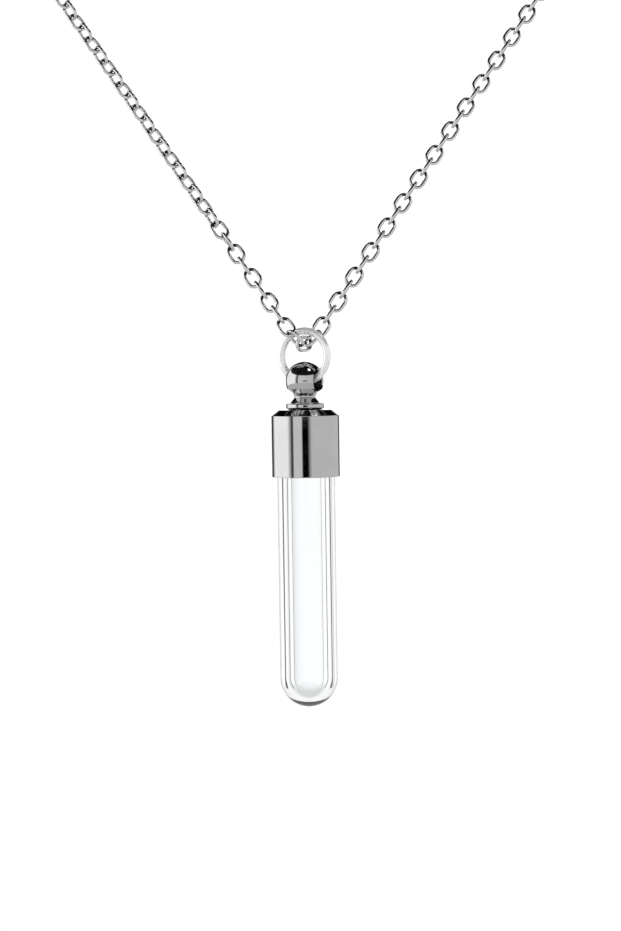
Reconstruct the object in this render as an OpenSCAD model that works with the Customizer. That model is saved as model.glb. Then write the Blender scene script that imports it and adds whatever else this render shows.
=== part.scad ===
// Bottle pendant: a glass vial in a screw cap, hung by a jump ring on a cable chain.
// Millimetres. Z is up, the wearer looks along -Y, and the origin is at the nape.

/* [Glass vial] */
// Outside diameter of the glass tube
tube_d = 8; // [7:0.1:11]
// Thickness of the glass wall
glass_wall = 1.8; // [0.8:0.1:2.2]
// Length of glass that shows below the cap, to the round end
glass_show = 32; // [18:0.5:60]
// Depth of the glass inside the cap
glass_seat = 6.2; // [4:0.1:12]

/* [Cap] */
// Thickness of the sleeve round the glass
cap_wall = 0.65; // [0.4:0.05:1.2]
// Thickness of the solid top of the cap
cap_top = 3; // [2:0.1:5]
// Width of the slope round the top
cap_bevel_w = 1; // [0.2:0.05:1.2]
// Height of the slope round the top
cap_bevel_h = 0.8; // [0.2:0.05:1.5]

/* [Screw bail] */
// Diameter of the ball
ball_d = 5.35; // [4.9:0.05:6.4]
// Diameter of the hole through the ball
ball_hole_d = 3; // [2.8:0.05:3.4]
// Bevel round each mouth of the hole
mouth_bevel = 0.28; // [0.1:0.02:0.4]
// Height of the ball's centre above the flange
ball_rise = 3.1; // [2.8:0.05:5]
// Diameter of the ball's foot on the neck
ball_foot_d = 3.4; // [3.2:0.05:3.8]
// Slope of the underside of the ball, in degrees
ball_foot_slope = 38; // [30:1:50]
// Drop from the ball's centre to its foot
ball_foot_drop = 1.7; // [1.5:0.05:1.75]
// Diameter of the neck at its waist
neck_d = 2.75; // [2.2:0.05:3]
// Height of the waist above the flange
neck_waist_h = 0.85; // [0.6:0.05:1]
// Diameter of the neck's flare where it meets the flange
neck_flare_d = 4.2; // [3.4:0.05:4.3]
// Diameter of the flange
flange_d = 5.25; // [5:0.05:7.5]
// Thickness of the flange
flange_t = 0.78; // [0.5:0.02:1.5]
// Rounding of the flange's rim
flange_round = 0.24; // [0.05:0.01:0.24]
// Diameter of the shoulder under the flange
shoulder_d = 4.6; // [3.6:0.05:4.9]
// Height of the shoulder
shoulder_h = 0.1; // [0.06:0.01:0.5]
// Diameter of the screwed stud
stud_d = 2.9; // [2:0.05:3.2]
// Length of the stud in the cap
stud_l = 2.8; // [1:0.1:4.5]

/* [Jump ring] */
// Outside diameter of the jump ring
ring_d = 8; // [7.6:0.1:9]
// Thickness of its wire
ring_wire = 1; // [0.7:0.05:1.1]
// Turn of the ring about the vertical, right side to the front
ring_turn = 25; // [15:1:35]

/* [Chain] */
// Length round the chain and its clasp
chain_l = 450; // [420:1:480]
// Length of one link outside
link_l = 3.3; // [3.1:0.05:3.5]
// Width of one link outside
link_w = 2.33; // [2.2:0.01:2.4]
// Thickness of the link wire
link_wire = 0.5; // [0.4:0.01:0.52]
// Lean of each side of the front V from the vertical, in degrees
v_angle = 33.85; // [30:0.05:38]
// Slope of the front V back towards the neck, in degrees
v_slope = 20; // [10:1:30]
// Radius of the bend over the collar bone
collar_bend_r = 40; // [25:1:60]
// Rise of the chain round the back of the neck, in degrees
neck_rise = 20; // [5:1:35]
// Flare of the chain at the sides of the neck, in degrees
neck_flare = 5; // [0:1:12]

/* [Clasp] */
// Diameter of the clasp's barrel
clasp_d = 3; // [2:0.1:4]
// Thickness of the wire of its two eyes
clasp_wire = 0.7; // [0.5:0.05:0.9]
// Outside diameter of each eye
clasp_eye_d = 3.2; // [2.9:0.1:4]
// Shortest reach from the clasp's middle to a chain link
clasp_reach = 5.2; // [5:0.1:8]

/* [Clearances] */
// Gap between the links, and between the chain and the jump ring
link_gap = 0.12; // [0.1:0.01:0.16]
// Gap round the glass in the cap, filled with cement
seat_gap = 0.05; // [0.02:0.01:0.15]
// Gap round the stud in its hole
stud_gap = 0.05; // [0.02:0.01:0.09]
// Gap between faces that meet
face_gap = 0.05; // [0.02:0.01:0.1]
// Gap between the jump ring and the mouths of the ball's hole
ring_gap = 0.1; // [0.06:0.01:0.15]

/* [Hidden] */
$fn = 48;

steel = [0.72, 0.73, 0.75];
glass = [0.85, 0.92, 0.95, 0.4];

function unit(v) = v / norm(v);
function degrees(length, r) = length / r * 180 / PI;
function arc_l(r, a) = r * a * PI / 180;

// Glass and cap
tube_r = tube_d / 2;
inner_r = tube_r - glass_wall;
bore_d = tube_d + 2 * seat_gap;
cap_d = bore_d + 2 * cap_wall;
cap_l = cap_top + seat_gap + glass_seat;

// Screw bail, measured up from the top of its flange
ball_r = ball_d / 2;
hole_r = ball_hole_d / 2;
mouth_x = sqrt(pow(ball_r, 2) - pow(hole_r, 2));
foot_r = ball_foot_d / 2;
foot_z = ball_rise - ball_foot_drop;
shoulder_z = -flange_t - shoulder_h;

// The ball hangs with the mouths of its hole on the inside of the jump ring
ring_r = (ring_d - ring_wire) / 2;
ring_inner_r = ring_r - ring_wire / 2;
mouth_drop = sqrt(pow(ring_inner_r - ring_gap, 2) - pow(mouth_x, 2));
ball_drop = ring_r + mouth_drop + hole_r;
ring_run = [cos(ring_turn), -sin(ring_turn), 0];

// From joint to joint, a link takes one pitch of the chain
pitch = link_l - 2 * link_wire - link_gap;

// Crossing of the chain through the jump ring, as points chosen from the middle of the
// ring's top wire: the joint beside the lowest link, and the foot of the V's right side
crossing = [[0.52, 0.59, -1.78], [1.82, 0, -0.32]];
// Depth by which the right side starts behind the ring and the left side before it
crossing_depth = 1.17;
// Length over which the two sides come into line
settle_l = 40;
// Turn about their length of the lowest link, of the two beside it, and of the first
// link of the left and the right side
lowest_roll = 9;
beside_roll = -79;
first_roll = [17, 4];

// Links of the left side between which the chain twists, and the twist in degrees
twist_links = [8, 12];
twist_turn = 45;

// Runs of the V's side, of the side of the neck and of the nape
v_run = unit([tan(v_angle), tan(v_slope), 1]);
neck_run = [sin(neck_flare), cos(neck_flare) * cos(neck_rise), cos(neck_flare) * sin(neck_rise)];
nape_run = [-1, 0, 0];
collar_turn = acos(v_run * neck_run);
neck_turn = acos(neck_run * nape_run);
collar_hop = tan(collar_turn / 2) * (v_run + neck_run);
neck_hop = tan(neck_turn / 2) * (neck_run + nape_run);

// The bend round the neck and the V's side share out the length that the collar leaves
foot = crossing[1];
route_l = chain_l / 2 - 1.5 * pitch;
collar_l = arc_l(collar_bend_r, collar_turn);
shared_l = route_l - collar_l;
neck_r = (foot[0] + shared_l * v_run[0] + collar_bend_r * collar_hop[0])
    / (arc_l(1, neck_turn) * v_run[0] - neck_hop[0]);
v_l = shared_l - arc_l(neck_r, neck_turn);
collar_start = foot + v_l * v_run;
neck_start = collar_start + collar_bend_r * collar_hop;

// Point at a length along a bend that turns from one run towards another
function bend(start, run, goal, r, length) =
    let (a = degrees(length, r))
    start + r * (sin(a) * run + (1 - cos(a)) * unit(goal - run * (run * goal)));

// Point of the right side at a length past the foot of the V
function route(s) =
    s < v_l ? foot + s * v_run
    : s < v_l + collar_l ? bend(collar_start, v_run, neck_run, collar_bend_r, s - v_l)
    : bend(neck_start, neck_run, nape_run, neck_r, s - v_l - collar_l);

// Joint number i of the right side (1) or the left side (-1)
function joint(i, side) =
    let (p = route(i * pitch), apart = pow(max(0, 1 - i * pitch / settle_l), 2))
    [side * p[0], p[1] + side * crossing_depth * apart, p[2]];

side_links = floor((route_l - clasp_reach) / pitch);
nape = joint(side_links, 1);
// Middle of the ring's top wire, with the middle of the clasp at the origin
ring_top = [0, -nape[1], -nape[2]];
ball_centre = ring_top - [0, 0, ball_drop];
flange_top = ball_centre - [0, 0, ball_rise];
cap_face = flange_top + [0, 0, shoulder_z - face_gap];

// Frame whose Z runs along a direction and whose X leans to another
function frame_to(run, lean, at) =
    let (z = unit(run), x = unit(lean - z * (z * lean)), y = cross(z, x))
    [[x[0], y[0], z[0], at[0]], [x[1], y[1], z[1], at[1]], [x[2], y[2], z[2], at[2]], [0, 0, 0, 1]];

// Direction turned about a run, from the way that it leans across it
function turned(run, lean, a) =
    let (z = unit(run), x = unit(lean - z * (z * lean)))
    cos(a) * x + sin(a) * cross(z, x);

// Twist of link number k, which the left side alone has
function twist(k, side) =
    side > 0 ? 0
    : twist_turn * min(1, max(0, (k - twist_links[0]) / (twist_links[1] - twist_links[0])));

// Way across link number i of a side: every second link stands edge-on to the front
function link_lean(i, side) =
    let (run = joint(i + 1, side) - joint(i, side), first = i > 0 ? 0 : first_roll[(side + 1) / 2])
    turned(run, cross(run, [0, 1, 0]), 90 * (i % 2) + twist(i + 2, side) + first);

module link() {
    bend_r = (link_w - link_wire) / 2;
    straight = link_l - link_w;
    for (side = [-1, 1]) {
        translate([side * bend_r, 0, 0])
            cylinder(d = link_wire, h = straight, center = true);
        translate([0, 0, side * straight / 2])
            rotate([side * 90, 0, 0])
            rotate_extrude(angle = 180)
            translate([bend_r, 0]) circle(d = link_wire);
    }
}

// Link between two joints, with its width leaning one way
module link_between(a, b, lean) {
    multmatrix(frame_to(b - a, lean, (a + b) / 2)) link();
}

// Whole loop of links, the lowest one hung through the jump ring
module chain() {
    up = [0, 0, 1];
    beside = crossing[0];
    opposite = [-beside[0], -beside[1], beside[2]];
    color(steel) translate(ring_top) {
        link_between(opposite, beside, turned(beside - opposite, up, lowest_roll));
        for (side = [-1, 1]) {
            low = side > 0 ? beside : opposite;
            high = joint(0, side);
            link_between(low, high, turned(high - low, up, beside_roll));
            for (i = [0 : side_links - 1])
                link_between(joint(i, side), joint(i + 1, side), link_lean(i, side));
        }
    }
}

// Plain closed clasp at the nape: a barrel with an eye at each end
module clasp() {
    eye_r = (clasp_eye_d - clasp_wire) / 2;
    eye_x = nape[0] + (clasp_wire + link_gap) / 2 - eye_r;
    barrel_end = eye_x - eye_r + clasp_wire / 4;
    barrel_l = 2 * (barrel_end - clasp_d / 2);
    color(steel) {
        rotate([0, 90, 0]) cylinder(d = clasp_d, h = barrel_l, center = true);
        for (side = [-1, 1]) {
            translate([side * barrel_l / 2, 0, 0]) sphere(d = clasp_d);
            multmatrix(frame_to(link_lean(side_links - 1, side), [1, 0, 0], [side * eye_x, 0, 0]))
                rotate_extrude() translate([eye_r, 0]) circle(d = clasp_wire);
        }
    }
}

// Closed ring of round wire that joins the chain to the bail
module jump_ring() {
    color(steel) translate(ring_top - [0, 0, ring_r])
        rotate([90, 0, -ring_turn])
        rotate_extrude() translate([ring_r, 0]) circle(d = ring_wire);
}

// Outline of the ball, and of the neck below it as two cones that meet at the waist
module ball_outline() {
    reach = ball_d;
    intersection() {
        translate([0, ball_rise]) circle(d = ball_d);
        polygon([
            [0, neck_waist_h], [neck_d / 2, neck_waist_h], [foot_r, foot_z],
            [foot_r + reach, foot_z + reach * tan(ball_foot_slope)],
            [foot_r + reach, ball_rise + reach], [0, ball_rise + reach]
        ]);
    }
    polygon([
        [0, 0], [neck_flare_d / 2, 0], [neck_d / 2, neck_waist_h], [foot_r, foot_z], [0, foot_z]
    ]);
}

// Outline of the flange with its round rim, the shoulder and the stud
module flange_outline() {
    rim = flange_d / 2 - flange_round;
    translate([0, -flange_t]) square([rim, flange_t]);
    translate([0, flange_round - flange_t]) square([flange_d / 2, flange_t - 2 * flange_round]);
    for (z = [-flange_round, flange_round - flange_t])
        translate([rim, z]) circle(r = flange_round);
    translate([0, shoulder_z]) square([shoulder_d / 2, shoulder_h]);
    translate([0, shoulder_z - stud_l]) square([stud_d / 2, stud_l + shoulder_h]);
}

// One turned piece: pierced ball, neck, flange and the stud that screws into the cap
module screw_bail() {
    color(steel) difference() {
        translate(flange_top) rotate_extrude() intersection() {
            union() {
                ball_outline();
                flange_outline();
            }
            translate([0, shoulder_z - stud_l])
                square([flange_d + ball_d, stud_l - shoulder_z + ball_rise + ball_d]);
        }
        translate(ball_centre) multmatrix(frame_to(ring_run, [0, 0, 1], [0, 0, 0])) {
            cylinder(r = hole_r, h = 2 * ball_d, center = true);
            for (side = [0, 1]) mirror([0, 0, side])
                translate([0, 0, mouth_x - mouth_bevel])
                cylinder(r1 = hole_r, r2 = hole_r + ball_d, h = ball_d);
        }
    }
}

// Steel sleeve with a sloped top, bored for the glass and tapped for the stud
module cap() {
    hole_d = stud_d + 2 * stud_gap;
    color(steel) translate(cap_face) difference() {
        union() {
            translate([0, 0, -cap_l]) cylinder(d = cap_d, h = cap_l - cap_bevel_h);
            translate([0, 0, -cap_bevel_h])
                cylinder(d1 = cap_d, d2 = cap_d - 2 * cap_bevel_w, h = cap_bevel_h);
        }
        translate([0, 0, -cap_l - 1]) cylinder(d = bore_d, h = cap_l - cap_top + 1);
        translate([0, 0, -cap_top - 1]) cylinder(d = hole_d, h = cap_top + 2);
    }
}

// Hollow glass tube with a round bottom, open at the top inside the cap
module vial() {
    tube_l = glass_seat + glass_show;
    color(glass) translate(cap_face - [0, 0, cap_l + glass_show]) difference() {
        union() {
            translate([0, 0, tube_r]) cylinder(d = tube_d, h = tube_l - tube_r);
            translate([0, 0, tube_r]) sphere(r = tube_r);
        }
        translate([0, 0, tube_r]) cylinder(r = inner_r, h = tube_l);
        translate([0, 0, tube_r]) sphere(r = inner_r);
    }
}

vial();
cap();
screw_bail();
jump_ring();
chain();
clasp();
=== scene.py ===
import math

import bmesh
import bpy
from mathutils import Matrix, Vector


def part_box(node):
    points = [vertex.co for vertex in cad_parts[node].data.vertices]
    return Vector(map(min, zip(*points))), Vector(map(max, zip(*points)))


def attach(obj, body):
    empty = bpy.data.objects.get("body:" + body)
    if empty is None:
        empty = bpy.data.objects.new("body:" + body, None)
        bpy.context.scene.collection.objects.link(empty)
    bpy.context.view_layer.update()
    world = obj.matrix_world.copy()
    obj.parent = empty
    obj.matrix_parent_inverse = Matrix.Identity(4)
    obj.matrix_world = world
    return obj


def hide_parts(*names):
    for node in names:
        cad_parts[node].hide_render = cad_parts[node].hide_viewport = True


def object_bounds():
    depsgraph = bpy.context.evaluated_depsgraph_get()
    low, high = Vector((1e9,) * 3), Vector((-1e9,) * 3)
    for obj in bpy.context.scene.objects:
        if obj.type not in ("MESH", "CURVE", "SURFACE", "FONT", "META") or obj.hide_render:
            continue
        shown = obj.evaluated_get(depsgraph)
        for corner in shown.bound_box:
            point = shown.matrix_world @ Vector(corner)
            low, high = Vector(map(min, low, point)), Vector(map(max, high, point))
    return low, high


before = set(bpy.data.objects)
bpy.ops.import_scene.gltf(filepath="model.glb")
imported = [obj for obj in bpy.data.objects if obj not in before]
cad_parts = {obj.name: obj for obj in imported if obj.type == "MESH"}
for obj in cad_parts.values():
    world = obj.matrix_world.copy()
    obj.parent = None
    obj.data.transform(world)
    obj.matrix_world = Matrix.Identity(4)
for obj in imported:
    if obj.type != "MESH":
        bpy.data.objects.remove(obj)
cad_low, cad_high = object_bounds()

# Glass vial: a thick-walled tube of clear borosilicate glass with a flame-closed round
# bottom. Its open end is cemented into the cap, and the bore shows as a line down each side.
MM = 0.001
GLASS_WALL = 1.84
RIM_ROUND = 0.5
GLASS_TINT = (0.985, 0.995, 1.0, 1)
GLASS_IOR = 1.47
TUBE_STEPS = 160
BOTTOM_STEPS, BORE_STEPS, CORNER_STEPS = 40, 32, 8
WELD = 1e-5
SHARP_FROM = 35
LINE_HEIGHT = 0.00002

# A rounded edge has one more ring of points close beside it, so that long faces shade true
RING_BESIDE = 0.03


def arc(centre, radius, start, end, steps):
    """Points of an arc in the (radius, height) plane, between two angles in degrees."""
    turns = [math.radians(start + (end - start) * i / steps) for i in range(steps + 1)]
    return [(centre[0] + radius * math.cos(a), centre[1] + radius * math.sin(a)) for a in turns]


def turned(outline, steps):
    """Mesh turned about Z from (radius, height) points, in millimetres."""
    bm = bmesh.new()
    verts = [bm.verts.new((max(r, 0), 0, z)) for r, z in outline]
    edges = [bm.edges.new(pair) for pair in zip(verts, verts[1:])]
    bmesh.ops.spin(bm, geom=verts + edges, cent=(0, 0, 0), axis=(0, 0, 1),
                   angle=2 * math.pi, steps=steps, use_merge=True)
    bmesh.ops.remove_doubles(bm, verts=bm.verts, dist=WELD)
    bmesh.ops.recalc_face_normals(bm, faces=bm.faces)
    return bm


def placed(bm, name, place, material, sharp_from=SHARP_FROM):
    """Object of a mesh in millimetres, with its place in its mesh, in metres."""
    bmesh.ops.transform(bm, matrix=place @ Matrix.Scale(MM, 4), verts=bm.verts)
    mesh = bpy.data.meshes.new(name)
    bm.to_mesh(mesh)
    bm.free()
    mesh.shade_smooth()
    mesh.set_sharp_from_angle(angle=math.radians(sharp_from))
    mesh.materials.append(material)
    made = bpy.data.objects.new(name, mesh)
    bpy.context.scene.collection.objects.link(made)
    return made


def node_of(tree, kind, settings=(), **inputs):
    """Node with its settings, and its inputs set to values or linked to sockets."""
    made = tree.nodes.new(kind)
    for key, value in dict(settings).items():
        setattr(made, key, value)
    for key, value in inputs.items():
        place = int(key[1:]) if key[0] == "n" and key[1:].isdigit() else key.replace("_", " ")
        if isinstance(value, bpy.types.NodeSocket):
            tree.links.new(value, made.inputs[place])
        else:
            made.inputs[place].default_value = value
    return made


def surface_marks():
    """Node group of what handling and polishing leave: uneven gloss and fine lines."""
    group = bpy.data.node_groups.new("Surface marks", "ShaderNodeTree")
    for name, usual in [("Lines per metre", 1000.0), ("Lines along", 1.0),
                        ("Smudges per metre", 200.0), ("Clean", 0.03), ("Smudged", 0.1),
                        ("Depth", 0.05)]:
        asked = group.interface.new_socket(name, in_out="INPUT", socket_type="NodeSocketFloat")
        asked.default_value = usual
    for name, kind in [("Smudge", "NodeSocketFloat"), ("Roughness", "NodeSocketFloat"),
                       ("Normal", "NodeSocketVector")]:
        group.interface.new_socket(name, in_out="OUTPUT", socket_type=kind)
    given = group.nodes.new("NodeGroupInput").outputs
    where = node_of(group, "ShaderNodeTexCoord").outputs["Object"]
    smudge = node_of(group, "ShaderNodeTexNoise", Vector=where, Scale=given["Smudges per metre"],
                     Detail=5.0, Roughness=0.6)
    mask = node_of(group, "ShaderNodeMapRange", Value=smudge.outputs["Fac"],
                   From_Min=0.4, From_Max=0.68)
    gloss = node_of(group, "ShaderNodeMapRange", Value=mask.outputs["Result"],
                    To_Min=given["Clean"], To_Max=given["Smudged"])
    stretch = node_of(group, "ShaderNodeCombineXYZ", X=1.0, Y=1.0, Z=given["Lines along"])
    drawn = node_of(group, "ShaderNodeVectorMath", {"operation": "MULTIPLY"},
                    n0=where, n1=stretch.outputs["Vector"])
    lines = node_of(group, "ShaderNodeTexNoise", Vector=drawn.outputs["Vector"],
                    Scale=given["Lines per metre"], Detail=3.0)
    bump = node_of(group, "ShaderNodeBump", Height=lines.outputs["Fac"], Strength=given["Depth"],
                   Distance=LINE_HEIGHT)
    out = group.nodes.new("NodeGroupOutput")
    group.links.new(mask.outputs["Result"], out.inputs["Smudge"])
    group.links.new(gloss.outputs["Result"], out.inputs["Roughness"])
    group.links.new(bump.outputs["Normal"], out.inputs["Normal"])
    return group


MARKS = surface_marks()


def finish_of(name, marks, **shader):
    """Material whose gloss and fine lines come from the marks group, and its nodes."""
    made = bpy.data.materials.new(name)
    made.use_nodes = True
    tree = made.node_tree
    principled = tree.nodes["Principled BSDF"]
    worn = node_of(tree, "ShaderNodeGroup", {"node_tree": MARKS}, **marks)
    tree.links.new(worn.outputs["Roughness"], principled.inputs["Roughness"])
    tree.links.new(worn.outputs["Normal"], principled.inputs["Normal"])
    for key, value in shader.items():
        principled.inputs[key.replace("_", " ")].default_value = value
    return made, tree, principled, worn


clear_glass = finish_of("clear_glass", {"Lines_per_metre": 900.0, "Lines_along": 0.03,
                                        "Smudges_per_metre": 160.0, "Clean": 0.0,
                                        "Smudged": 0.012, "Depth": 0.03},
                        Base_Color=GLASS_TINT, Transmission_Weight=1.0, IOR=GLASS_IOR)[0]

vial_low, vial_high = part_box("vial")
tube_r = (vial_high.x - vial_low.x) / 2 / MM
tube_l = (vial_high.z - vial_low.z) / MM
bore_r = tube_r - GLASS_WALL
axis_x, axis_y = (vial_low.x + vial_high.x) / 2, (vial_low.y + vial_high.y) / 2
rim = tube_l - RIM_ROUND
vial_outline = (
    arc((0, tube_r), tube_r, -90, 0, BOTTOM_STEPS)
    + [(tube_r, tube_r + RING_BESIDE), (tube_r, rim - RING_BESIDE)]
    + arc((tube_r - RIM_ROUND, rim), RIM_ROUND, 0, 90, CORNER_STEPS)
    + arc((bore_r + RIM_ROUND, rim), RIM_ROUND, 90, 180, CORNER_STEPS)
    + [(bore_r, rim - RING_BESIDE), (bore_r, tube_r + RING_BESIDE)]
    + arc((0, tube_r), bore_r, 0, -90, BORE_STEPS)
)
vial = placed(turned(vial_outline, TUBE_STEPS), "glass_vial",
              Matrix.Translation((axis_x, axis_y, vial_low.z)), clear_glass)
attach(vial, "bottle")
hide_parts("vial")

# Cap: a sleeve turned from stainless steel and polished, with a sloped shoulder. It is
# bored from below for the glass, and tapped through its thick top for the bail's stud. A
# ring of near-black painted shadow lies round the hole, on the seat of the bail's shoulder.
CAP_TOP = 3.0
SLOPE_W, SLOPE_H = 1.0, 0.8
EDGE_ROUND = 0.07
HOLE_D = 3.0
BORE_GAP = 0.05
THREAD_PITCH, THREAD_DEPTH = 0.5, 0.25
THREAD_SLOPE = 2.6
THREAD_STEP = 0.05
# The near-black painted shadow on the cap's top reaches out to this diameter
PAINTED_SHADOW_D = 5.2
ROUND_SHARE, RING_SHARE = 0.4, 0.05
ON_RADIUS, ON_FACE = 1e-4, 0.01
STEEL_TONES = ((0.595, 0.595, 0.592, 1), (0.635, 0.635, 0.632, 1))
# Near-black painted shadow under the bail's flange
PAINTED_SHADOW_BLACK = (0.012, 0.012, 0.012, 1)


def eased(corners, radius, steps=4):
    """Outline with each of its inner corners rounded, and a ring beside each round."""
    points = [Vector(corners[0])]
    for before, corner, after in zip(corners, corners[1:], corners[2:]):
        corner = Vector(corner)
        back, ahead = (Vector(before) - corner), (Vector(after) - corner)
        half = back.angle(ahead) / 2
        shortest = min(back.length, ahead.length)
        reach = min(radius / math.tan(half), ROUND_SHARE * shortest)
        beside = min(RING_BESIDE, RING_SHARE * shortest)
        back.normalize()
        ahead.normalize()
        centre = corner + (back + ahead).normalized() * reach / math.cos(half)
        first, last = corner + back * reach - centre, corner + ahead * reach - centre
        points.append(corner + back * (reach + beside))
        points += [centre + first.slerp(last, i / steps).normalized() * first.length
                   for i in range(steps + 1)]
        points.append(corner + ahead * (reach + beside))
    return [tuple(p) for p in points + [Vector(corners[-1])]]


def cut_thread(bm, radius, low, high, deepen):
    """Cuts a V thread into the fine rings of a bore or stud, fading out at both ends."""
    for vert in bm.verts:
        x, y, z = vert.co
        here = math.hypot(x, y)
        if abs(here - radius) > ON_RADIUS or not low <= z <= high:
            continue
        phase = (z / THREAD_PITCH - math.atan2(y, x) / (2 * math.pi)) % 1
        groove = min(1, THREAD_SLOPE * min(phase, 1 - phase))
        fade = min(1, (z - low) / THREAD_PITCH, (high - z) / THREAD_PITCH)
        grown = 1 + deepen * THREAD_DEPTH * (1 - groove) * fade / here
        vert.co = (x * grown, y * grown, z)


def rings(radius, start, end):
    """Straight stretch of an outline as fine steps, for a thread."""
    count = max(1, round(abs(end - start) / THREAD_STEP))
    return [(radius, start + (end - start) * i / count) for i in range(count + 1)]


def steel(name, tones, marks, metal=1.0):
    """Polished steel whose tone shifts a little where it was handled."""
    made, tree, principled, worn = finish_of(name, marks, Metallic=metal)
    tone = node_of(tree, "ShaderNodeMix", {"data_type": "RGBA"}, n0=worn.outputs["Smudge"],
                   n6=tones[0], n7=tones[1])
    tree.links.new(tone.outputs[2], principled.inputs["Base Color"])
    return made


turned_steel = steel("turned_steel", STEEL_TONES,
                     {"Lines_per_metre": 700.0, "Lines_along": 9.0, "Smudges_per_metre": 350.0,
                      "Clean": 0.045, "Smudged": 0.1, "Depth": 0.01})

# Near-black painted shadow round the stud: on the cap's seat and the bail's shoulder under the
# flange
painted_shadow_black = finish_of("painted_shadow_black", {"Lines_per_metre": 900.0, "Lines_along": 1.0,
                                      "Smudges_per_metre": 900.0, "Clean": 0.5,
                                      "Smudged": 0.7, "Depth": 0.02},
                       Base_Color=PAINTED_SHADOW_BLACK, Specular_IOR_Level=0.05)[0]

cap_low, cap_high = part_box("cap")
cap_r = (cap_high.x - cap_low.x) / 2 / MM
cap_l = (cap_high.z - cap_low.z) / MM
sleeve_r = tube_r + BORE_GAP
hole_r = HOLE_D / 2
seat = cap_l - CAP_TOP
outside = eased([(sleeve_r, seat), (sleeve_r, 0), (cap_r, 0), (cap_r, cap_l - SLOPE_H),
                 (cap_r - SLOPE_W, cap_l), (PAINTED_SHADOW_D / 2, cap_l)], EDGE_ROUND)
cap_outline = outside + rings(hole_r, cap_l, seat) + [(sleeve_r, seat)]
cap_mesh = turned(cap_outline, TUBE_STEPS)
# Faces of the cap's top round the hole get the painted shadow
for face in cap_mesh.faces:
    spot = face.calc_center_median()
    if spot.z > cap_l - ON_FACE and hole_r < spot.xy.length < PAINTED_SHADOW_D / 2:
        face.material_index = 1
cut_thread(cap_mesh, hole_r, seat, cap_l, 1)
cap = placed(cap_mesh, "steel_cap", Matrix.Translation((axis_x, axis_y, cap_low.z)), turned_steel)
cap.data.materials.append(painted_shadow_black)
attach(cap, "bottle")
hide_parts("cap")

# Screw bail: one steel turning of a pierced ball, a waisted neck, a flange and a threaded
# stud. The ball is drilled across and the mouths of its hole are bevelled. The hole's walls
# are painted near black as painted shade, and the shoulder under the flange has a
# near-black painted shadow, as its seat has.
BALL_D, BALL_RISE = 5.35, 3.1
BALL_HOLE_D, MOUTH_BEVEL = 3.0, 0.28
BALL_FOOT_D, BALL_FOOT_DROP, BALL_FOOT_SLOPE = 3.4, 1.7, 38
NECK_D, NECK_WAIST_H, NECK_FLARE_D, NECK_ROUND = 2.75, 0.85, 4.2, 0.3
FLANGE_D, FLANGE_T, FLANGE_ROUND = 5.25, 0.78, 0.24
SHOULDER_D, SHOULDER_H = 4.6, 0.1
STUD_D, STUD_BEVEL = 2.9, 0.25
RING_TURN = 25
BALL_STEPS, BAIL_STEPS, DRILL_STEPS = 96, 192, 128
CUT_SHARP_FROM = 25
# Near-black painted shade for the walls of the ball's hole, on a rough drilled finish
DRILLED_SHADE_TONES = ((0.1, 0.1, 0.1, 1), (0.16, 0.16, 0.15, 1))

bail_low, bail_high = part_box("screw_bail")
ball_r = BALL_D / 2
foot_r = BALL_FOOT_D / 2
foot_z = BALL_RISE - BALL_FOOT_DROP
stud_foot = (bail_low.z - bail_high.z) / MM + BALL_RISE + ball_r
shoulder_z = -FLANGE_T - SHOULDER_H

# The ball's underside is a cone from its foot, up to where the round of the ball takes over
slope = math.radians(BALL_FOOT_SLOPE)
along = Vector((math.cos(slope), math.sin(slope)))
foot = Vector((foot_r, foot_z - BALL_RISE))
travel = -foot.dot(along) + math.sqrt(foot.dot(along)**2 - foot.length_squared + ball_r**2)
meet = foot + along * travel
ball_from = math.degrees(math.atan2(meet.y, meet.x))
ball_side = arc((0, BALL_RISE), ball_r, 90, ball_from, BALL_STEPS)
neck_side = eased([(meet.x, BALL_RISE + meet.y), (foot_r, foot_z), (NECK_D / 2, NECK_WAIST_H),
                   (NECK_FLARE_D / 2, 0), (FLANGE_D / 2 - FLANGE_ROUND, 0)], NECK_ROUND)[1:-1]
rim_x = FLANGE_D / 2
flange_side = (
    [(rim_x - FLANGE_ROUND - RING_BESIDE, 0)]
    + arc((rim_x - FLANGE_ROUND, -FLANGE_ROUND), FLANGE_ROUND, 90, 0, CORNER_STEPS)
    + [(rim_x, -FLANGE_ROUND - RING_BESIDE), (rim_x, FLANGE_ROUND - FLANGE_T + RING_BESIDE)]
    + arc((rim_x - FLANGE_ROUND, FLANGE_ROUND - FLANGE_T), FLANGE_ROUND, 0, -90, CORNER_STEPS)
    + [(rim_x - FLANGE_ROUND - RING_BESIDE, -FLANGE_T)]
)
stud_r = STUD_D / 2
stud_side = rings(stud_r, shoulder_z, stud_foot + STUD_BEVEL)
bail_outline = (
    ball_side + neck_side + flange_side
    + [(SHOULDER_D / 2, -FLANGE_T), (SHOULDER_D / 2, shoulder_z)]
    + stud_side + [(stud_r - STUD_BEVEL, stud_foot), (0, stud_foot)]
)
bail_mesh = turned(bail_outline, BAIL_STEPS)
cut_thread(bail_mesh, stud_r, stud_foot + STUD_BEVEL, shoulder_z, -1)

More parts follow.
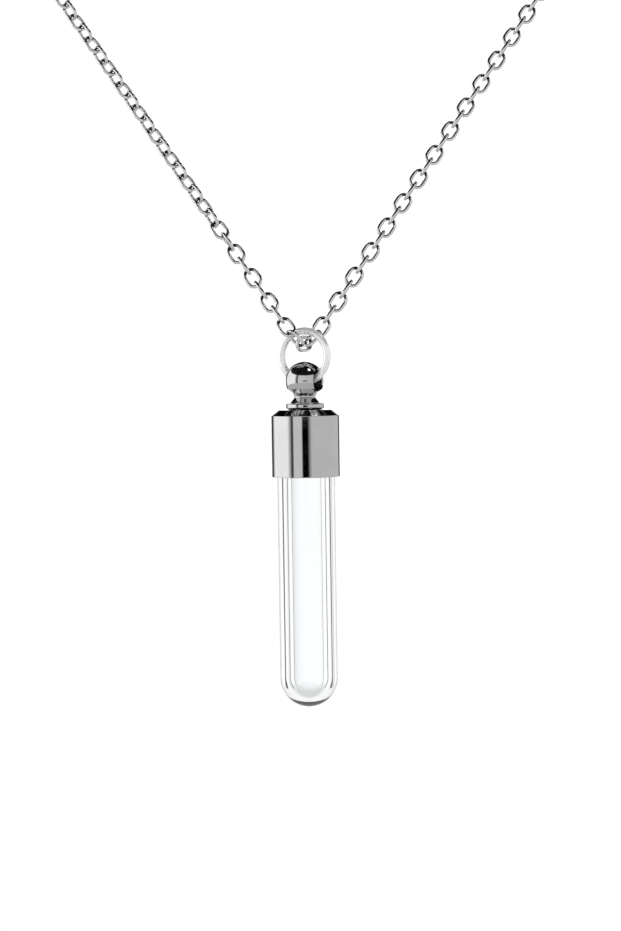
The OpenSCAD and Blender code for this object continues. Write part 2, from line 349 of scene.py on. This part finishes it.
# The cutter that drills the ball, a rod whose ends flare at the mouths
drill_r, drill_reach = BALL_HOLE_D / 2, 2 * BALL_D
mouth_x = math.sqrt(ball_r**2 - drill_r**2)
bevel_x = mouth_x - MOUTH_BEVEL
flared_r = drill_r + drill_reach - bevel_x
drill_side = [(0, -drill_reach), (flared_r, -drill_reach), (drill_r, -bevel_x),
              (drill_r, bevel_x), (flared_r, drill_reach), (0, drill_reach)]
turned_to_ring = Matrix.Rotation(math.radians(-RING_TURN), 4, "Z")
flange_top = Matrix.Translation((axis_x, axis_y, bail_high.z - (BALL_RISE + ball_r) * MM))
ball_hole = (flange_top @ Matrix.Translation((0, 0, BALL_RISE * MM)) @ turned_to_ring
             @ Matrix.Rotation(math.radians(90), 4, "Y"))
drill = placed(turned(drill_side, DRILL_STEPS), "drill", ball_hole, turned_steel)
bail = placed(bail_mesh, "ball_bail", flange_top, turned_steel)


def drilled(piece, cutter):
    """Takes the cutter's form out of a piece, and deletes the cutter."""
    cut = piece.modifiers.new("hole", "BOOLEAN")
    cut.operation = "DIFFERENCE"
    cut.object = cutter
    cut.solver = "EXACT"
    seen = piece.evaluated_get(bpy.context.evaluated_depsgraph_get())
    mesh = bpy.data.meshes.new_from_object(seen)
    piece.modifiers.clear()
    old = piece.data
    piece.data = mesh
    bpy.data.meshes.remove(old)
    bpy.data.objects.remove(cutter)
    mesh.name = piece.name
    mesh.shade_smooth()
    mesh.set_sharp_from_angle(angle=math.radians(CUT_SHARP_FROM))


drilled(bail, drill)
# The hole's walls: a rough drilled finish, painted near black as painted shade
drilled_steel_painted_shade = steel("drilled_steel_painted_shade", DRILLED_SHADE_TONES,
                      {"Lines_per_metre": 2500.0, "Lines_along": 1.0, "Smudges_per_metre": 900.0,
                       "Clean": 0.3, "Smudged": 0.5, "Depth": 0.3})
bail.data.materials.append(drilled_steel_painted_shade)
bail.data.materials.append(painted_shadow_black)
# Faces in the ball's hole get the painted shade, faces of the shoulder under the flange the
# painted shadow
for face in bail.data.polygons:
    in_hole = ball_hole.inverted() @ face.center / MM
    if in_hole.xy.length < drill_r + ON_FACE and abs(in_hole.z) < mouth_x:
        face.material_index = 1
    below = flange_top.inverted() @ face.center / MM
    if (below.xy.length < SHOULDER_D / 2 + ON_FACE
            and shoulder_z - ON_FACE < below.z < -FLANGE_T):
        face.material_index = 2
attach(bail, "bail")
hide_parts("screw_bail")

# Jump ring: a closed ring of round wire, plated a pale satin, that hangs on the chain's
# lowest link and holds the ball by its hole.
RING_WIRE = 1.0
RING_SIDES, RING_STEPS = 32, 144
RING_TONES = ((0.95, 0.95, 0.945, 1), (0.98, 0.98, 0.975, 1))
SATIN = 0.6

bright_wire = steel("bright_wire", RING_TONES,
                    {"Lines_per_metre": 900.0, "Lines_along": 1.0, "Smudges_per_metre": 500.0,
                     "Clean": 0.19, "Smudged": 0.23, "Depth": 0.004}, metal=SATIN)

ring_low, ring_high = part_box("jump_ring")
ring_r = (ring_high.z - ring_low.z) / 2 / MM - RING_WIRE / 2
ring_middle = (ring_low + ring_high) / 2
ring_outline = arc((ring_r, 0), RING_WIRE / 2, 0, 360, RING_SIDES)
ring_stand = turned_to_ring @ Matrix.Rotation(math.radians(90), 4, "X")
jump_ring = placed(turned(ring_outline, RING_STEPS), "jump_ring_wire",
                   Matrix.Translation(ring_middle) @ ring_stand, bright_wire)
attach(jump_ring, "ring")
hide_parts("jump_ring")

# Cable chain: 201 closed links of round steel wire, each across the last, in a loop of
# 450 mm. It hangs in a V from the collar bones, its lowest link holds the jump ring, and
# the inner side of each bend, where the links cross, has near-black painted shade.
CHAIN_L = 450.0
LINK_L, LINK_W, LINK_WIRE, LINK_GAP = 3.3, 2.33, 0.5, 0.12
LOWEST_LINKS = 3
V_ANGLE, V_SLOPE = 33.85, 20
COLLAR_BEND_R = 40
NECK_RISE, NECK_FLARE = 20, 5
CROSSING = [Vector((0.52, 0.59, -1.78)), Vector((1.82, 0, -0.32))]
CROSSING_DEPTH, SETTLE_L = 1.17, 40
LOWEST_ROLL, BESIDE_ROLL, FIRST_ROLL = 9, -79, {-1: 17, 1: 4}
TWIST_FIRST, TWIST_LAST, TWIST_TURN = 6, 10, 45
CLASP_REACH = 5.2
WIRE_SIDES, BEND_STEPS = 8, 6
DARK_SLOPE = 0.5
LINK_WELD, LINK_SHARP_FROM = 1e-4, 60
BACKWARD, UP = Vector((0, 1, 0)), Vector((0, 0, 1))
LINK_TONES = ((0.8, 0.8, 0.795, 1), (0.86, 0.86, 0.855, 1))
# Near-black painted shade for the inner sides of the links' bends, where they cross
PAINTED_SHADE_TONES = ((0.04, 0.04, 0.04, 1), (0.09, 0.09, 0.088, 1))

chain_steel = steel("chain_steel", LINK_TONES,
                    {"Lines_per_metre": 1200.0, "Lines_along": 1.0, "Smudges_per_metre": 400.0,
                     "Clean": 0.03, "Smudged": 0.09, "Depth": 0.03})
# Painted shade: the inner sides of the link bends are painted near black
link_painted_shade = steel("link_painted_shade", PAINTED_SHADE_TONES,
                     {"Lines_per_metre": 2500.0, "Lines_along": 1.0, "Smudges_per_metre": 900.0,
                      "Clean": 0.3, "Smudged": 0.5, "Depth": 0.3})

# The right half's way: straight up the V, a bend at the collar bone, and round the neck
rise, flare = math.radians(NECK_RISE), math.radians(NECK_FLARE)
v_run = Vector((math.tan(math.radians(V_ANGLE)), math.tan(math.radians(V_SLOPE)), 1)).normalized()
neck_run = Vector((math.sin(flare), math.cos(flare) * math.cos(rise),
                   math.cos(flare) * math.sin(rise))).normalized()
nape_run = Vector((-1, 0, 0))
pitch = LINK_L - 2 * LINK_WIRE - LINK_GAP
collar_turn, neck_turn = v_run.angle(neck_run), neck_run.angle(nape_run)
collar_hop = math.tan(collar_turn / 2) * (v_run + neck_run)
neck_hop = math.tan(neck_turn / 2) * (neck_run + nape_run)
v_foot = CROSSING[1]
route_l = (CHAIN_L - LOWEST_LINKS * pitch) / 2
collar_l = COLLAR_BEND_R * collar_turn
shared_l = route_l - collar_l
neck_r = ((v_foot.x + shared_l * v_run.x + COLLAR_BEND_R * collar_hop.x)
          / (neck_turn * v_run.x - neck_hop.x))
v_l = shared_l - neck_r * neck_turn
collar_start = v_foot + v_l * v_run
neck_start = collar_start + COLLAR_BEND_R * collar_hop


def bend(start, run, goal, radius, length):
    """Point at a length along a bend that turns from one run towards another."""
    a = length / radius
    inward = (goal - run * run.dot(goal)).normalized()
    return start + radius * (math.sin(a) * run + (1 - math.cos(a)) * inward)


def joint(i, side):
    """Joint number i of the right side (1) or the left side (-1)."""
    s = i * pitch
    if s < v_l:
        p = v_foot + s * v_run
    elif s < v_l + collar_l:
        p = bend(collar_start, v_run, neck_run, COLLAR_BEND_R, s - v_l)
    else:
        p = bend(neck_start, neck_run, nape_run, neck_r, s - v_l - collar_l)
    apart = max(0, 1 - s / SETTLE_L)**2
    return Vector((side * p.x, p.y + side * CROSSING_DEPTH * apart, p.z))


def leant(run, lean, degrees):
    """Direction across a run, turned about it from the way that it leans."""
    z = run.normalized()
    x = (lean - z * z.dot(lean)).normalized()
    return math.cos(math.radians(degrees)) * x + math.sin(math.radians(degrees)) * z.cross(x)


def link_lean(i, side):
    """Way across link number i: every second link stands edge-on to the front."""
    run = joint(i + 1, side) - joint(i, side)
    share = (i - TWIST_FIRST) / (TWIST_LAST - TWIST_FIRST)
    twist = TWIST_TURN * min(1, max(0, share)) if side < 0 else 0
    roll = FIRST_ROLL[side] if i == 0 else 0
    return leant(run, run.cross(BACKWARD), 90 * (i % 2) + twist + roll)


def frame_to(run, lean, at):
    """Frame whose Z runs along a direction and whose X leans to another."""
    z = run.normalized()
    x = (lean - z * z.dot(lean)).normalized()
    return Matrix.Translation(at) @ Matrix((x, z.cross(x), z)).transposed().to_4x4()


def wire_link():
    """One link: two straight wires and two half rings, with painted shade on the inside of their
    bends.
    """
    bm = bmesh.new()
    bend_r = (LINK_W - LINK_WIRE) / 2
    half = (LINK_L - LINK_W) / 2
    section = bmesh.ops.create_circle(bm, segments=WIRE_SIDES, radius=LINK_WIRE / 2,
                                      matrix=Matrix.Translation((bend_r, 0, half)))["verts"]
    section = section + list({e for v in section for e in v.link_edges})
    for side in (1, -1):
        bent = bmesh.ops.spin(bm, geom=section, cent=(0, 0, side * half), axis=(0, -1, 0),
                              angle=math.pi, steps=BEND_STEPS)["geom_last"]
        rim_edges = [g for g in bent if isinstance(g, bmesh.types.BMEdge)]
        grown = bmesh.ops.extrude_edge_only(bm, edges=rim_edges)
        section = [g for g in grown["geom"] if not isinstance(g, bmesh.types.BMFace)]
        ends = [g for g in section if isinstance(g, bmesh.types.BMVert)]
        bmesh.ops.translate(bm, verts=ends, vec=(0, 0, -side * 2 * half))
    bmesh.ops.remove_doubles(bm, verts=bm.verts, dist=LINK_WELD)
    bmesh.ops.recalc_face_normals(bm, faces=bm.faces)
    # Faces on the inside of each bend's end, where the links cross, get the painted shade
    for face in bm.faces:
        spot = face.calc_center_median()
        inward = Vector((spot.x, 0, spot.z - math.copysign(half, spot.z)))
        if abs(spot.z) > half + DARK_SLOPE * abs(spot.x) and face.normal.dot(inward) < 0:
            face.material_index = 1
    mesh = bpy.data.meshes.new("wire_link")
    bm.to_mesh(mesh)
    bm.free()
    return mesh


beside = CROSSING[0]
opposite = Vector((-beside.x, -beside.y, beside.z))
side_links = math.floor((route_l - CLASP_REACH) / pitch)
spans = [(opposite, beside, leant(beside - opposite, UP, LOWEST_ROLL))]
for side in (-1, 1):
    low, high = (beside if side > 0 else opposite), joint(0, side)
    spans.append((low, high, leant(high - low, UP, BESIDE_ROLL)))
    spans += [(joint(i, side), joint(i + 1, side), link_lean(i, side)) for i in range(side_links)]

ring_top = Matrix.Translation(ring_middle + Vector((0, 0, ring_r * MM)))
link_mesh = wire_link()
chain_mesh = bmesh.new()
for start, end, lean in spans:
    first = len(chain_mesh.verts)
    chain_mesh.from_mesh(link_mesh)
    chain_mesh.verts.ensure_lookup_table()
    bmesh.ops.transform(chain_mesh, matrix=frame_to(end - start, lean, (start + end) / 2),
                        verts=chain_mesh.verts[first:])
bpy.data.meshes.remove(link_mesh)
chain = placed(chain_mesh, "cable_chain", ring_top, chain_steel, LINK_SHARP_FROM)
chain.data.materials.append(link_painted_shade)
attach(chain, "necklace")
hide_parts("chain")

# Clasp: a plain closed barrel of polished steel with a wire eye soldered to each end. It
# rests on the nape, out of the photograph's view.
CLASP_D = 3.0
CLASP_WIRE, CLASP_EYE_D = 0.7, 3.2
SOLDER_DEPTH = CLASP_WIRE / 4
BARREL_END_STEPS, BARREL_STEPS = 20, 64
EYE_SIDES, EYE_STEPS = 16, 48
RIGHTWARD = Vector((1, 0, 0))

nape = joint(side_links, 1)
eye_r = (CLASP_EYE_D - CLASP_WIRE) / 2
eye_x = nape.x + (CLASP_WIRE + LINK_GAP) / 2 - eye_r
barrel_half = eye_x - eye_r + SOLDER_DEPTH - CLASP_D / 2
barrel_outline = (arc((0, -barrel_half), CLASP_D / 2, -90, 0, BARREL_END_STEPS)
                  + arc((0, barrel_half), CLASP_D / 2, 0, 90, BARREL_END_STEPS))
clasp_mesh = turned(barrel_outline, BARREL_STEPS)
bmesh.ops.rotate(clasp_mesh, matrix=Matrix.Rotation(math.radians(90), 3, "Y"),
                 verts=clasp_mesh.verts)
for side in (-1, 1):
    eye = turned(arc((eye_r, 0), CLASP_WIRE / 2, 0, 360, EYE_SIDES), EYE_STEPS)
    eye_stand = frame_to(link_lean(side_links - 1, side), RIGHTWARD, (side * eye_x, 0, 0))
    bmesh.ops.transform(eye, matrix=eye_stand, verts=eye.verts)
    eye_mesh = bpy.data.meshes.new("eye")
    eye.to_mesh(eye_mesh)
    eye.free()
    clasp_mesh.from_mesh(eye_mesh)
    bpy.data.meshes.remove(eye_mesh)
clasp = placed(clasp_mesh, "barrel_clasp", Matrix.Identity(4), turned_steel)
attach(clasp, "necklace")
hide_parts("clasp")

# Floor: a plain white studio sweep below the pendant, left out of the metal's reflections.
FLOOR_DROP, FLOOR_REACH, FLOOR_SIDES = 0.03, 4.0, 64
PAPER_WHITE = (0.94, 0.94, 0.94, 1)

floor_mesh = bmesh.new()
bmesh.ops.create_circle(floor_mesh, cap_ends=True, segments=FLOOR_SIDES, radius=FLOOR_REACH / MM)
paper = bpy.data.materials.new("white_paper")
paper.use_nodes = True
paper_looks = paper.node_tree.nodes["Principled BSDF"].inputs
paper_looks["Base Color"].default_value = PAPER_WHITE
paper_looks["Roughness"].default_value = 1.0
paper_looks["Specular IOR Level"].default_value = 0.0
floor = placed(floor_mesh, "floor", Matrix.Translation((0, 0, cad_low.z - FLOOR_DROP)), paper)
floor.visible_glossy = False
floor.visible_transmission = False

# Studio light: a white backdrop behind the pendant, a tall soft box at the left, grey
# walls at the right and round a dark camera, a grey table, and a dark roof with two small
# lamps. The glass passes on a white field with thin dark gaps, which draw its edges.
# A panel or gap has the angles that it runs between, from straight ahead and negative to
# the left, its strength (for the roof, its lowest height), and the angles over which it
# fades at its two ends. A lamp has its direction, its half angle and its strength.
STEEL_DARK = 0.05
STEEL_PANELS = [(-180, -141, 0.8, 0, 4), (-117, -54, 1.28, 16, 17), (-9, 9, 1.4, 4, 4),
                (36, 180, 0.715, 7, 0)]
CAMERA_PANELS = [(-168, 158, 1.0, 3, 13)]
CAMERA_LOW, CAMERA_HIGH, CAMERA_LOW_FADE, CAMERA_HIGH_FADE = -4.2, 0.9, 1, 0.1
ROOF_LOW, ROOF_FADE, ROOF_STRENGTH = 22, 4, 0.012
ROOF_PANELS = [(-180, -44, 29, 0, 8), (44, 180, 29, 8, 0)]
TABLE_FROM, TABLE_FADE, TABLE_STRENGTH = -12, 2, 0.6
LAMPS = [((0.38, -0.245, 0.892), 7, 2.2), ((0.215, 0.28, 0.936), 5, 1.1)]
GLASS_FIELD = 1.03
GLASS_GAPS = [(-141, -139, 0.4, 1, 1), (-50.5, -47.5, 0.5, 0.5, 0.5), (-44, -37, 0.05, 0.4, 0.4),
              (-36, -26, 0.86, 0.4, 22), (36.5, 42.9, 0.03, 0.4, 0.4), (139, 141, 0.4, 1, 1)]
GAPS_LOW, GAPS_HIGH = -30, 12
EDGE_GAPS = [(-96, -84, 0.4, 2, 3), (84, 100, 0.75, 2, 2)]
EDGES_LOW, EDGES_HIGH = -10, 0
LOW_FADE, HIGH_FADE = 2, 1
GLASS_BELOW_FROM, GLASS_BELOW_TO, GLASS_BELOW = -18, -45, 0.66
GLASS_ROOF, GLASS_ROOF_FADE, GLASS_ROOF_STRENGTH = 35.5, 2, 0.07
PLAIN_WHITE = 1.12

world = bpy.data.worlds.new("studio")
bpy.context.scene.world = world
world.use_nodes = True
sky = world.node_tree
sky.nodes.clear()
look = node_of(sky, "ShaderNodeTexCoord").outputs["Generated"]
part = node_of(sky, "ShaderNodeSeparateXYZ", Vector=look).outputs


def maths(operation, *values):
    """Result of a sum in the studio's node tree."""
    inputs = {f"n{i}": v for i, v in enumerate(values)}
    return node_of(sky, "ShaderNodeMath", {"operation": operation}, **inputs).outputs[0]


def mixed(share, low, high):
    """Value that goes from low to high with a share between 0 and 1."""
    return node_of(sky, "ShaderNodeMix", {"data_type": "FLOAT"},
                   n0=share, n2=low, n3=high).outputs[0]


def fade(value, start, end, low, high):
    """Value that goes from low to high as another goes from start to end."""
    return node_of(sky, "ShaderNodeMapRange", Value=value, From_Min=float(start),
                   From_Max=float(end), To_Min=low, To_Max=high).outputs["Result"]


around = maths("ADD", maths("DIVIDE", maths("ARCTAN2", part["X"], part["Y"]), 2 * math.pi), 0.5)
height = maths("DEGREES", maths("ARCSINE", part["Z"]))


def seen_around(between, panels):
    """Brightness round the studio: what lies between the panels, and the panels."""
    stops = []
    for start, end, strength, fade_in, fade_out in panels:
        ends = [(start - fade_in, between), (start, strength),
                (end, strength), (end + fade_out, between)]
        stops += [(angle, value) for angle, value in ends if abs(angle) < 180 or value == strength]
    most = max(between, *(strength for _, _, strength, _, _ in panels))
    ramp = node_of(sky, "ShaderNodeValToRGB", Fac=around)
    band = ramp.color_ramp
    band.elements.remove(band.elements[0])
    band.elements[0].position = stops[0][0] / 360 + 0.5
    for angle, _ in stops[1:]:
        band.elements.new(angle / 360 + 0.5)
    for element, (_, value) in zip(band.elements, stops):
        element.color = (value / most,) * 3 + (1,)
    return maths("MULTIPLY", ramp.outputs["Color"], most)


# What the steel reflects
camera_shade = maths("MAXIMUM", seen_around(0.0, CAMERA_PANELS), maths(
    "MAXIMUM",
    fade(height, CAMERA_HIGH - CAMERA_HIGH_FADE, CAMERA_HIGH + CAMERA_HIGH_FADE, 0.0, 1.0),
    fade(height, CAMERA_LOW - CAMERA_LOW_FADE, CAMERA_LOW, 1.0, 0.0)))
walls = maths("MULTIPLY", seen_around(STEEL_DARK, STEEL_PANELS), camera_shade)
over_table = fade(height, TABLE_FROM - TABLE_FADE, TABLE_FROM, 0.0, 1.0)
over_walls = maths("SUBTRACT", height, seen_around(ROOF_LOW, ROOF_PANELS))
for_steel = maths("MULTIPLY", mixed(over_table, TABLE_STRENGTH, walls),
                  fade(over_walls, 0, ROOF_FADE, 1.0, ROOF_STRENGTH))
for place, half_angle, strength in LAMPS:
    toward = node_of(sky, "ShaderNodeVectorMath", {"operation": "DOT_PRODUCT"}, n0=look,
                     n1=Vector(place).normalized()).outputs["Value"]
    lit = maths("GREATER_THAN", toward, math.cos(math.radians(half_angle)))
    for_steel = maths("ADD", for_steel, maths("MULTIPLY", lit, strength))

# What is seen through the glass
for_glass = GLASS_FIELD
for gaps, lowest, highest in [(GLASS_GAPS, GAPS_LOW, GAPS_HIGH),
                              (EDGE_GAPS, EDGES_LOW, EDGES_HIGH)]:
    for_glass = maths("MULTIPLY", for_glass, maths("MAXIMUM", seen_around(1.0, gaps), maths(
        "MAXIMUM", fade(height, highest - HIGH_FADE, highest + HIGH_FADE, 0.0, 1.0),
        fade(height, lowest - LOW_FADE, lowest + LOW_FADE, 1.0, 0.0))))
for level in (fade(height, GLASS_BELOW_TO, GLASS_BELOW_FROM, GLASS_BELOW, 1.0),
              fade(height, GLASS_ROOF, GLASS_ROOF + GLASS_ROOF_FADE, 1.0, GLASS_ROOF_STRENGTH)):
    for_glass = maths("MULTIPLY", for_glass, level)

# The eye and dull surfaces see a plain white room
path = node_of(sky, "ShaderNodeLightPath").outputs
plain = maths("MAXIMUM", path["Is Camera Ray"], path["Is Diffuse Ray"])
light = mixed(plain, mixed(path["Is Transmission Ray"], for_steel, for_glass), PLAIN_WHITE)
backdrop = node_of(sky, "ShaderNodeBackground", Color=(1, 1, 1, 1), Strength=light)
node_of(sky, "ShaderNodeOutputWorld", Surface=backdrop.outputs["Background"])

# Camera: level with the pendant's cap and close to it, as in the photograph. The frame is
# 621 by 931 pixels, and the pendant stands left of and below its middle.
FRAME_W, FRAME_H = 621, 931
FOCAL_PX = 2092.3
MIDDLE_X, MIDDLE_Y = 306.1, 475.5
SENSOR_W = 36
CAMERA_TURN, CAMERA_RISE, CAMERA_ROLL = 1.2, 2.73, -0.86
CAMERA_DISTANCE = 0.29
TARGET_DROP = 0.02
NEAREST, FARTHEST = 0.01, 50

target = ring_middle + Vector((0, 0, ring_r * MM - TARGET_DROP))
turn, lift = math.radians(CAMERA_TURN), math.radians(CAMERA_RISE)
ahead = Vector((-math.sin(turn) * math.cos(lift), math.cos(turn) * math.cos(lift),
                -math.sin(lift)))
lens = bpy.data.cameras.new("camera")
lens.sensor_fit = "HORIZONTAL"
lens.sensor_width = SENSOR_W
lens.lens = FOCAL_PX / FRAME_W * SENSOR_W
lens.shift_x = (FRAME_W / 2 - MIDDLE_X) / FRAME_W
lens.shift_y = (MIDDLE_Y - FRAME_H / 2) / FRAME_W
lens.clip_start, lens.clip_end = NEAREST, FARTHEST
camera = bpy.data.objects.new("camera", lens)
bpy.context.scene.collection.objects.link(camera)
facing = ahead.to_track_quat("-Z", "Y").to_matrix().to_4x4()
roll = Matrix.Rotation(math.radians(CAMERA_ROLL), 4, "Z")
camera.matrix_world = Matrix.Translation(target - CAMERA_DISTANCE * ahead) @ facing @ roll
bpy.context.scene.camera = camera
bpy.context.scene.view_settings.view_transform = "Standard"
